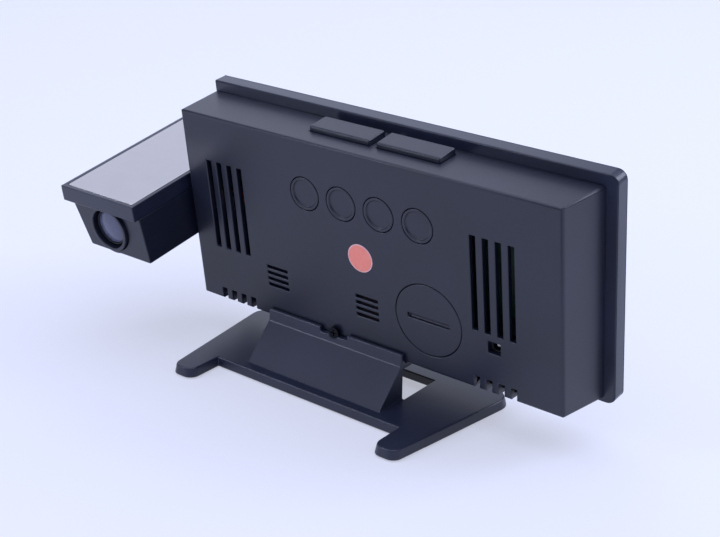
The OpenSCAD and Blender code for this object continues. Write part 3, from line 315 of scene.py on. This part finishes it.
# %% The case's own frame
LEAN_DEGREES = -7
CASE_FOOT = (-15.8, 8.4225, 16.0)  # mm
CASE_HALF_WIDTH, CASE_HEIGHT, CASE_DEPTH = 73.8, 69.5, 18.6  # mm
FREE_FLARE, ARM_FLARE = 2.8, 1.0  # mm that each flank runs out towards the front
UNDERSIDE_DROP = 2.2  # mm that the underside falls towards the front
LEAN = Matrix.Rotation(math.radians(LEAN_DEGREES), 4, "X")
ON_CASE = Matrix.Translation(Vector(CASE_FOOT) * MM) @ LEAN
print("the case's foot is at", [round(v, 4) for v in ON_CASE.translation])

# %% [markdown]
# ## Round corners of the case
# The four long corners of the case are rounder than its other edges. Each is cut by a
# few planes that touch the curve, as a file would shape it, and every cut is closed
# with a flat face. That keeps the mesh closed, whatever else meets the corner.

# %% Planes that shape a corner
CORNER_MM, CORNER_STEPS = 1.2, 5


def corner_planes():
    """Planes that touch a round corner along each of the case's four long edges."""
    planes = []
    for side, flare in ((-1, FREE_FLARE), (1, ARM_FLARE)):
        for up, drop in ((1, 0.0), (-1, UNDERSIDE_DROP)):
            axis_z = CASE_HEIGHT - CORNER_MM if up > 0 else CORNER_MM
            axis = Vector((side * (CASE_HALF_WIDTH - CORNER_MM), 0, axis_z))
            for i in range(1, CORNER_STEPS):
                turn = math.radians(90 * i / CORNER_STEPS)
                x, z = side * math.cos(turn), up * math.sin(turn)
                point = axis + CORNER_MM * Vector((x, 0, z))
                slope = (abs(x) * flare + abs(z) * drop) / CASE_DEPTH
                normal = ON_CASE.to_3x3() @ Vector((x, slope, z))
                planes.append((ON_CASE @ (point * MM), normal))
    return planes


def cut_off(work, planes):
    """Take away what lies outside each plane and close the cut with one flat face."""
    for point, normal in planes:
        geometry = work.verts[:] + work.edges[:] + work.faces[:]
        cut = bmesh.ops.bisect_plane(work, geom=geometry, dist=1e-7, plane_co=point,
                                     plane_no=normal, clear_outer=True)
        rim = [item for item in cut["geom_cut"] if isinstance(item, bmesh.types.BMEdge)]
        bmesh.ops.holes_fill(work, edges=rim, sides=0)
    bmesh.ops.recalc_face_normals(work, faces=work.faces)


case_planes = corner_planes()
print("planes", len(case_planes))

# %% [markdown]
# ## Soft edges
# A moulded edge is never perfectly sharp: a radius of a few tenths of a millimetre
# catches a thin line of light, which is what makes black plastic readable. The model's
# solids have sharp edges, so each outer piece is copied, its loose triangles are
# welded and merged back into flat faces, and its sharp edges get a small bevel. An edge
# stays sharp where a face beside it is too narrow for that. The copy then stands for
# the solid.

# %% Copy a solid and round its edges
WELD = 0.002 * MM
FLAT_DEGREES, SHARP_DEGREES = 0.5, 35
BEVEL_STEPS = 2
ROOM = 1.1  # a face beside a bevel is at least this many radii wide


def settle(piece):
    """Turn what the modifiers make of a piece into its own plain mesh."""
    bpy.context.view_layer.update()
    shape = piece.evaluated_get(bpy.context.evaluated_depsgraph_get())
    plain = bpy.data.meshes.new_from_object(shape)
    piece.modifiers.clear()
    piece.data = plain


def roomy(edge, reach):
    """True where every face beside the edge is wider than reach, on the average."""
    return all(face.calc_area() / max(e.calc_length() for e in face.edges) > reach
               for face in edge.link_faces)


def soften(node, radius_mm, material, planes):
    mesh = frame["nodes"][node].data.copy()
    work = bmesh.new()
    work.from_mesh(mesh)
    bmesh.ops.remove_doubles(work, verts=work.verts, dist=WELD)
    if planes:
        cut_off(work, planes)
    bmesh.ops.dissolve_limit(work, angle_limit=math.radians(FLAT_DEGREES),
                             verts=work.verts, edges=work.edges)
    weight = work.edges.layers.float.new("bevel_weight_edge")
    turn = math.radians(SHARP_DEGREES)
    for edge in work.edges:
        sharp = len(edge.link_faces) == 2 and edge.calc_face_angle() > turn
        edge[weight] = 1.0 if sharp and roomy(edge, ROOM * radius_mm * MM) else 0.0
    work.to_mesh(mesh)
    work.free()
    mesh.materials.clear()
    mesh.materials.append(material)
    piece = bpy.data.objects.new("soft_" + node, mesh)
    bpy.context.collection.objects.link(piece)
    bevel = piece.modifiers.new("edge", "BEVEL")
    bevel.width = radius_mm * MM
    bevel.segments = BEVEL_STEPS
    bevel.limit_method = "WEIGHT"
    bevel.use_clamp_overlap = False
    weigh = piece.modifiers.new("flat faces stay flat", "WEIGHTED_NORMAL")
    weigh.weight = 100
    mesh.shade_smooth()
    settle(piece)
    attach(piece, node_body[node])
    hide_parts(node)
    return piece


# %% Soften every outer piece
outer = {"front_frame": (0.2, abs_frame), "stand": (0.35, abs_stand),
         "arm_frame": (0.3, abs_frame), "arm_case": (0.3, abs_shell),
         "focus_ring": (0.25, abs_shell), "battery_cover": (0.35, abs_shell),
         "rubber_feet": (0.15, foot_rubber), "arm_mirror": (0.12, arm_film),
         "mirror_window": (0.2, face_mirror)}
outer.update({"rear_button_%d" % i: (0.2, abs_button) for i in range(1, 5)})
outer.update({"top_button_%d" % i: (0.3, abs_button) for i in range(1, 3)})
outer["rear_case"] = (0.3, abs_shell)
softened = [soften(node, radius_mm, material, case_planes if node == "rear_case" else ())
            for node, (radius_mm, material) in outer.items()]
print("softened", len(softened), "pieces")

# %% [markdown]
# ## The inspection sticker
# The round paper sticker has a red face and a thin pale edge where the paper was cut.
# It is a stack of rings, closed at the back, with the edge ring in the paler paper.

# %% Build the sticker
STICKER_SPOT = (0.3, 0, 33.6)  # mm, in the case's own frame
STICKER_RINGS = [(0, 0.11), (4.1, 0.115), (4.55, 0.115), (4.8, 0.11), (4.88, 0.06),
                 (4.88, 0.0), (0, 0.0)]
PRINT_RADIUS = 4.6  # mm


def ringed_disc(name, rings, sides=64):
    """rings: (radius, height) in mm, from the middle of the face to that of the back."""
    points, faces = [(0, rings[0][1] * MM, 0)], []
    for radius, height in rings[1:-1]:
        for i in range(sides):
            a = 2 * math.pi * i / sides
            points.append((radius * MM * math.cos(a), height * MM, radius * MM * math.sin(a)))
    points.append((0, rings[-1][1] * MM, 0))
    last = len(points) - 1
    for i in range(sides):
        j = (i + 1) % sides
        faces.append((0, 1 + j, 1 + i))
        for k in range(len(rings) - 3):
            a, b = 1 + k * sides, 1 + (k + 1) * sides
            faces.append((a + i, a + j, b + j, b + i))
        b = 1 + (len(rings) - 3) * sides
        faces.append((last, b + i, b + j))
    mesh = bpy.data.meshes.new(name)
    mesh.from_pydata(points, [], faces)
    return mesh


def make_sticker():
    mesh = ringed_disc("round_sticker", STICKER_RINGS)
    mesh.materials.append(sticker_red_painted_light)
    mesh.materials.append(sticker_edge)
    for face in mesh.polygons:
        reach = math.hypot(face.center.x, face.center.z) / MM
        face.material_index = 1 if reach > PRINT_RADIUS else 0
    mesh.transform(ON_CASE @ Matrix.Translation(Vector(STICKER_SPOT) * MM))
    piece = bpy.data.objects.new("round_sticker", mesh)
    bpy.context.collection.objects.link(piece)
    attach(piece, node_body["inspection_sticker"])
    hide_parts("inspection_sticker")
    return piece


sticker = make_sticker()
print("sticker faces", len(sticker.data.polygons))

# %% [markdown]
# ## What repeats on the boards
# Solder joints stand in rows, and the chip has four rows of bent legs. Each is one small
# shape and a rule, so each is a geometry nodes tree with named inputs for its sizes. A
# tree ends by making its copies real and giving them a material, and the result is
# kept as a plain mesh.

# %% Helpers for trees
def start_tree(name, sockets):
    tree = bpy.data.node_groups.new(name, "GeometryNodeTree")
    tree.interface.new_socket(name="Shape", in_out="OUTPUT", socket_type="NodeSocketGeometry")
    for label, kind in sockets:
        tree.interface.new_socket(name=label, in_out="INPUT", socket_type=kind)
    return tree, add(tree, "NodeGroupInput").outputs


def end_tree(tree, instances, material):
    real = add(tree, "GeometryNodeRealizeInstances", links={"Geometry": instances})
    done = add(tree, "GeometryNodeSetMaterial",
               links={"Geometry": real.outputs[0], "Material": material})
    add(tree, "NodeGroupOutput", links={"Shape": done.outputs[0]})


def grow(name, tree, values, matrix, body):
    piece = bpy.data.objects.new(name, bpy.data.meshes.new(name))
    bpy.context.collection.objects.link(piece)
    mod = piece.modifiers.new(name, "NODES")
    mod.node_group = tree
    for item in tree.interface.items_tree:
        if item.in_out == "INPUT":
            mod[item.identifier] = values[item.name]
    settle(piece)
    piece.data.transform(matrix)
    piece.data.name = name
    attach(piece, body)
    return piece


print("helpers for trees are ready; meshes so far:", len(bpy.data.meshes))

# %% [markdown]
# ## Solder joints
# A soldered pin leaves a small cone of tin. The tree lays a grid of points, puts a cone
# on each and varies their size a little, since no two joints take the same tin.

# %% Tree of solder joints
TIP_SHARE = 0.3  # a joint's tip is this share of its foot
SMALLEST, LARGEST = 0.86, 1.08
SOLDER_SEED = 7


def solder_tree():
    tree, ask = start_tree("rows_of_solder_joints", [
        ("Columns", "NodeSocketInt"), ("Rows", "NodeSocketInt"),
        ("Column Pitch", "NodeSocketFloat"), ("Row Pitch", "NodeSocketFloat"),
        ("Joint Radius", "NodeSocketFloat"), ("Joint Height", "NodeSocketFloat"),
        ("Finish", "NodeSocketMaterial")])
    lengths = []
    for count, pitch in (("Columns", "Column Pitch"), ("Rows", "Row Pitch")):
        gaps = add(tree, "ShaderNodeMath", {1: 1}, {0: ask[count]}, operation="SUBTRACT")
        span = add(tree, "ShaderNodeMath", {}, {0: gaps.outputs[0], 1: ask[pitch]},
                   operation="MULTIPLY")
        lengths.append(span.outputs[0])
    grid = add(tree, "GeometryNodeMeshGrid", links={
        "Size X": lengths[0], "Size Y": lengths[1],
        "Vertices X": ask["Columns"], "Vertices Y": ask["Rows"]})
    tip = add(tree, "ShaderNodeMath", {1: TIP_SHARE}, {0: ask["Joint Radius"]},
              operation="MULTIPLY")
    cone = add(tree, "GeometryNodeMeshCone", {"Vertices": 16, "Side Segments": 2}, {
        "Radius Bottom": ask["Joint Radius"], "Radius Top": tip.outputs[0],
        "Depth": ask["Joint Height"]})
    vary = add(tree, "FunctionNodeRandomValue", data_type="FLOAT")
    vary.inputs[2].default_value, vary.inputs[3].default_value = SMALLEST, LARGEST
    vary.inputs["Seed"].default_value = SOLDER_SEED
    placed = add(tree, "GeometryNodeInstanceOnPoints", links={
        "Points": grid.outputs["Mesh"], "Instance": cone.outputs["Mesh"],
        "Scale": vary.outputs[1]})
    end_tree(tree, placed.outputs[0], ask["Finish"])
    return tree


solder = worked_metal("tin_solder", "#b9bcc2", 0.28, 0.5)
joints_tree = solder_tree()
print("inputs of the tree", [s.name for s in joints_tree.interface.items_tree])

# %% Two fields of joints on the main board
BOARD_SPOT = (-2.8, -13.6, 34.75)  # mm, middle of the board's rear side on the case
JOINT_RADIUS, JOINT_HEIGHT = 0.55, 0.6  # mm
FACE_REAR = Matrix.Rotation(math.radians(-90), 4, "X")
BOARD = ON_CASE @ Matrix.Translation(Vector(BOARD_SPOT) * MM) @ FACE_REAR


def joint_rows(name, columns, rows, column_pitch, row_pitch, right, up):
    values = {"Columns": columns, "Rows": rows, "Column Pitch": column_pitch * MM,
              "Row Pitch": row_pitch * MM, "Joint Radius": JOINT_RADIUS * MM,
              "Joint Height": JOINT_HEIGHT * MM, "Finish": solder}
    spot = Matrix.Translation(Vector((right, -up, 0)) * MM)
    return grow(name, joints_tree, values, BOARD @ spot, node_body["main_board"])


header = joint_rows("display_header_joints", columns=24, rows=2, column_pitch=2.0,
                    row_pitch=2.5, right=-10, up=19.5)
lower = joint_rows("resistor_joints", columns=10, rows=3, column_pitch=3.0,
                   row_pitch=3.6, right=12, up=-16)
print("faces of solder", len(header.data.polygons), len(lower.data.polygons))

# %% [markdown]
# ## Legs of the chip
# The chip is a flat square package with bent legs on four sides. One leg is a strip
# that follows a short path. The tree sets a row of them along one side, then turns that
# row by quarter turns.

# %% One bent leg
LEG_PATH = [(0, 0.85), (0.45, 0.85), (0.75, 0.15), (1.3, 0.15)]  # mm out, mm up
LEG_HALF_WIDTH, LEG_THICKNESS = 0.16, 0.12  # mm


def bent_leg():
    below = [(x, z - LEG_THICKNESS) for x, z in reversed(LEG_PATH)]
    points = [(x * MM, y * MM, z * MM) for y in (-LEG_HALF_WIDTH, LEG_HALF_WIDTH)
              for x, z in LEG_PATH + below]
    n = len(points) // 2
    faces = [tuple(range(n - 1, -1, -1)), tuple(range(n, 2 * n))]
    faces += [(i, (i + 1) % n, n + (i + 1) % n, n + i) for i in range(n)]
    mesh = bpy.data.meshes.new("bent_leg")
    mesh.from_pydata(points, [], faces)
    leg = bpy.data.objects.new("bent_leg", mesh)
    bpy.context.collection.objects.link(leg)
    return leg


leg = bent_leg()
print("a leg has", len(leg.data.vertices), "points")

# %% Tree of chip legs
CHIP_SPOT = (22, 6, 0)  # mm, on the board
CHIP_HALF_WIDTH, LEG_PITCH, LEGS_PER_SIDE = 6, 0.8, 12  # mm, mm, count


def leg_tree():
    tree, ask = start_tree("four_rows_of_chip_legs", [
        ("Leg", "NodeSocketObject"), ("Legs per Side", "NodeSocketInt"),
        ("Leg Pitch", "NodeSocketFloat"), ("Chip Half Width", "NodeSocketFloat"),
        ("Finish", "NodeSocketMaterial")])
    leg = add(tree, "GeometryNodeObjectInfo", links={"Object": ask["Leg"]})
    gaps = add(tree, "ShaderNodeMath", {1: 1}, {0: ask["Legs per Side"]}, operation="SUBTRACT")
    span = add(tree, "ShaderNodeMath", {}, {0: gaps.outputs[0], 1: ask["Leg Pitch"]},
               operation="MULTIPLY")
    half = add(tree, "ShaderNodeMath", {1: -0.5}, {0: span.outputs[0]}, operation="MULTIPLY")
    start = add(tree, "ShaderNodeCombineXYZ",
                links={"X": ask["Chip Half Width"], "Y": half.outputs[0]})
    step = add(tree, "ShaderNodeCombineXYZ", links={"Y": ask["Leg Pitch"]})
    line = add(tree, "GeometryNodeMeshLine", links={
        "Count": ask["Legs per Side"], "Start Location": start.outputs[0],
        "Offset": step.outputs[0]})
    row = add(tree, "GeometryNodeInstanceOnPoints", links={
        "Points": line.outputs[0], "Instance": leg.outputs["Geometry"]})
    middle = add(tree, "GeometryNodeMeshLine", {"Count": 4, "Offset": (0, 0, 0)})
    order = add(tree, "GeometryNodeInputIndex")
    angle = add(tree, "ShaderNodeMath", {1: math.pi / 2}, {0: order.outputs[0]},
                operation="MULTIPLY")
    turn = add(tree, "ShaderNodeCombineXYZ", links={"Z": angle.outputs[0]})
    sides = add(tree, "GeometryNodeInstanceOnPoints", links={
        "Points": middle.outputs[0], "Instance": row.outputs[0], "Rotation": turn.outputs[0]})
    end_tree(tree, sides.outputs[0], ask["Finish"])
    return tree


CHIP = BOARD @ Matrix.Translation(Vector(CHIP_SPOT) * MM)
leg_values = {"Leg": leg, "Legs per Side": LEGS_PER_SIDE, "Leg Pitch": LEG_PITCH * MM,
              "Chip Half Width": CHIP_HALF_WIDTH * MM, "Finish": solder}
legs = grow("chip_legs", leg_tree(), leg_values, CHIP, node_body["main_chip"])
bpy.data.objects.remove(leg)
print("chip leg faces", len(legs.data.polygons))

# %% [markdown]
# ## Finishes for what is inside
# The inner parts keep the model's own meshes. They show through the vents, in the
# inlet and behind the lens, so each still gets the finish of the real thing.

# %% Give every other solid its finish
of_finish = [
    (board_green, ["main_board", "key_board", "top_board", "led_board"]),
    (chip_epoxy, ["main_chip", "key_switches", "top_switches", "power_jack"]),
    (nickel, ["coin_cell", "cell_contact_minus", "cell_contact_plus", "jack_pin"]),
    (turned_steel, ["pivot_tube", "friction_washer", "pivot_ring"]),
    (screw_steel, ["board_screws", "arm_screws"]), (black_steel, ["stand_screw"]),
    (abs_lens, ["lens_guide", "lens_barrel"]),
    (lens_tint_painted_reflection, ["projection_lens", "condenser_lens"]), (mask_glass, ["digit_mask"]),
    (wire_sleeve, ["arm_lead", "case_lead"]), (cream_nylon, ["lead_plug"]),
    (white_box, ["display_reflector"]), (clear_bars, ["digit_segments"]),
    (brass, ["buzzer"]), (sensor_dip, ["temperature_sensor"]), (lamp_body, ["projector_led"])]
inside = {node: material for material, nodes in of_finish for node in nodes}
for node, material in inside.items():
    mesh = frame["nodes"][node].data
    mesh.materials.clear()
    mesh.materials.append(material)
left = set(frame["nodes"]) - set(inside) - set(outer) - {"inspection_sticker"}
print("without a finish:", sorted(left))

# %% [markdown]
# ## Room and light
# The clock stands on a plain pale sheet in a dim room. A very large soft lamp hangs
# above it, so the shadows stay faint. A small one on the arm's side runs a bright line
# along the upper edge of the back. Two more stand in front of the clock, one at each
# end, and light the flanks. Half of the sheet's brightness is its own, as under a lit
# table, which keeps the shadow but lifts it.

# %% Floor and world
FLOOR_HALF, FLOOR_HEIGHT = 6.0, -0.2 * MM  # just under the feet
GLOW_SHARE = 0.5
ROOM_STRENGTH = 0.25


def flat_sheet(name, half, height):
    mesh = bpy.data.meshes.new(name)
    mesh.from_pydata([(-half, -half, height), (half, -half, height), (half, half, height),
                      (-half, half, height)], [], [(0, 1, 2, 3)])
    sheet = bpy.data.objects.new(name, mesh)
    bpy.context.collection.objects.link(sheet)
    return sheet


def studio():
    material, tree, place, shader = start_material("pale_paper_sheet", **{"Roughness": 0.9})
    cloud = add(tree, "ShaderNodeTexNoise", {"Scale": 1.5, "Detail": 2.0}, {"Vector": place})
    tone = add(tree, "ShaderNodeValToRGB", links={"Fac": cloud.outputs["Fac"]})
    tone.color_ramp.elements[0].color = linear("#dcdef1")
    tone.color_ramp.elements[1].color = linear("#e2e4f6")
    tree.links.new(tone.outputs["Color"], shader.inputs["Base Color"])
    ray = add(tree, "ShaderNodeLightPath").outputs
    seen = add(tree, "ShaderNodeMath", {},
               {0: ray["Is Camera Ray"], 1: ray["Is Glossy Ray"]}, operation="ADD")
    seen = add(tree, "ShaderNodeMath", {},
               {0: seen.outputs[0], 1: ray["Is Transmission Ray"]}, operation="ADD")
    share = add(tree, "ShaderNodeMath", {1: GLOW_SHARE}, {0: seen.outputs[0]},
                operation="MULTIPLY", use_clamp=True)
    glow = add(tree, "ShaderNodeEmission", {"Color": linear("#edf0fe"), "Strength": 1.0})
    both = add(tree, "ShaderNodeMixShader", {},
               {0: share.outputs[0], 1: shader.outputs[0], 2: glow.outputs[0]})
    tree.links.new(both.outputs[0], tree.nodes["Material Output"].inputs["Surface"])
    floor = flat_sheet("studio_floor", FLOOR_HALF, FLOOR_HEIGHT)
    floor.data.materials.append(material)
    world = bpy.data.worlds.new("dim_room")
    world.use_nodes = True
    world.node_tree.nodes.clear()
    sky = add(world.node_tree, "ShaderNodeBackground",
              {"Color": linear("#d8dff6"), "Strength": ROOM_STRENGTH})
    add(world.node_tree, "ShaderNodeOutputWorld", links={"Surface": sky.outputs[0]})
    bpy.context.scene.world = world


studio()
bpy.context.scene.view_settings.view_transform = "Standard"
print("world", bpy.context.scene.world.name)

# %% Four soft lamps
LAMP_COLOUR = "#e0e7ff"


def soft_lamp(name, spot, aim, size, watts):
    data = bpy.data.lights.new(name, "AREA")
    data.shape = "DISK"
    data.size = size
    data.energy = watts
    data.color = linear(LAMP_COLOUR)[:3]
    lamp = bpy.data.objects.new(name, data)
    spot, aim = Vector(spot), Vector(aim)
    facing = (aim - spot).to_track_quat("-Z", "Y").to_matrix().to_4x4()
    lamp.matrix_world = Matrix.Translation(spot) @ facing
    bpy.context.collection.objects.link(lamp)


soft_lamp("overhead_lamp", spot=(-0.2, 0.0, 1.4), aim=(0, 0, 0.03), size=2.6, watts=31)
soft_lamp("rear_lamp", spot=(0.85, 1.0, 0.55), aim=(0, 0, 0.05), size=0.4, watts=5.5)
soft_lamp("back_lamp", spot=(1.15, -1.0, 0.8), aim=(0, 0, 0.05), size=1.3, watts=5)
soft_lamp("end_lamp", spot=(-0.95, -0.95, 0.85), aim=(0, 0, 0.04), size=0.9, watts=12)
print("lamps", len(bpy.data.lights))

# %% [markdown]
